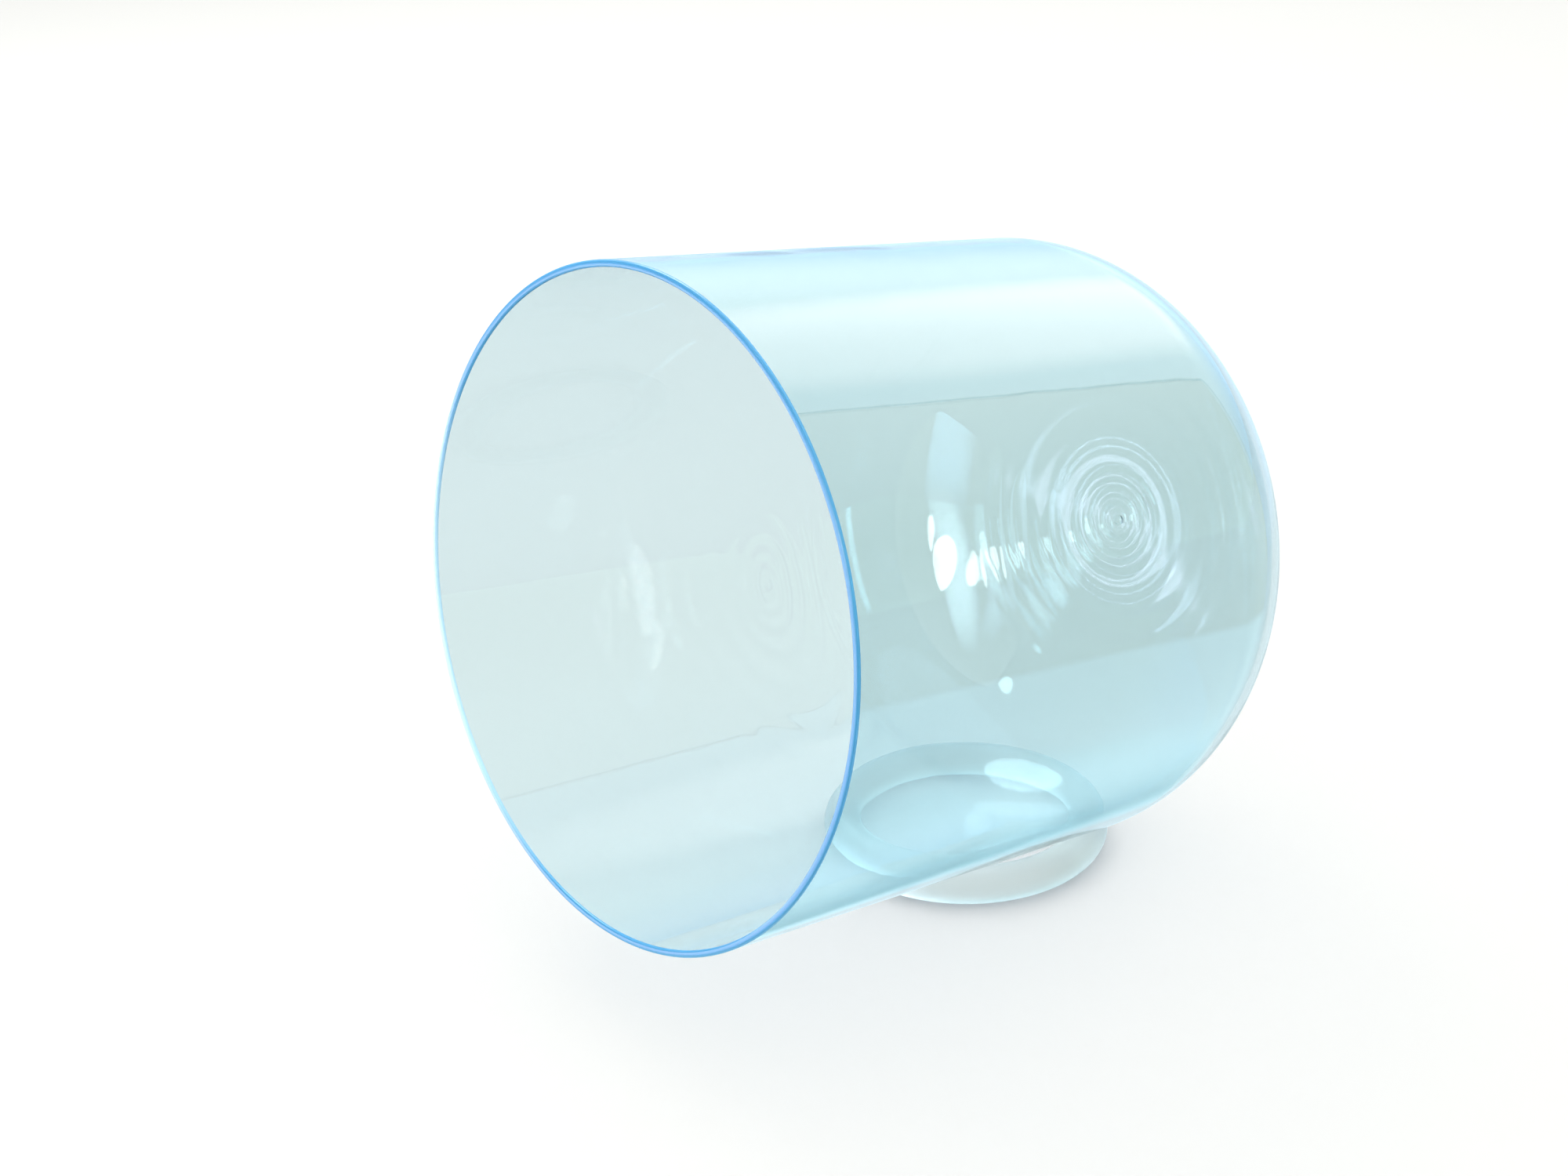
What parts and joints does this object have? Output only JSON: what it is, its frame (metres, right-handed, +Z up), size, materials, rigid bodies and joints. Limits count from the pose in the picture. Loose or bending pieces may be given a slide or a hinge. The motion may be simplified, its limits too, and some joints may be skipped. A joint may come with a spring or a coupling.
{
  "type": "singing bowl",
  "caption": "Clear, pale blue quartz singing bowl with a straight wall and a rounded closed end, lying tilted on its side on a clear silicone ring.",
  "frame": {"origin": "middle of the whole object's footprint, on the surface that the ring lies on", "axes": "+Z up; the bowl's axis lies in the YZ plane, with the open mouth facing -Y and tipped up 8.5 degrees and the closed end facing +Y; +X across the bowl"},
  "size_m": [0.2032, 0.236, 0.2303],
  "materials": {
    "tinted_quartz": "polished",
    "clear_silicone": "gloss"
  },
  "bodies": {
    "ring": {"silicone_ring": "clear_silicone"},
    "bowl": {"quartz_bowl": "tinted_quartz"}
  },
  "joints": [
    {"name": "bowl_lift", "type": "slide", "parent": "ring", "child": "bowl", "axis": [0, 0, 1], "range_m": [0, 0.1]}
  ]
}
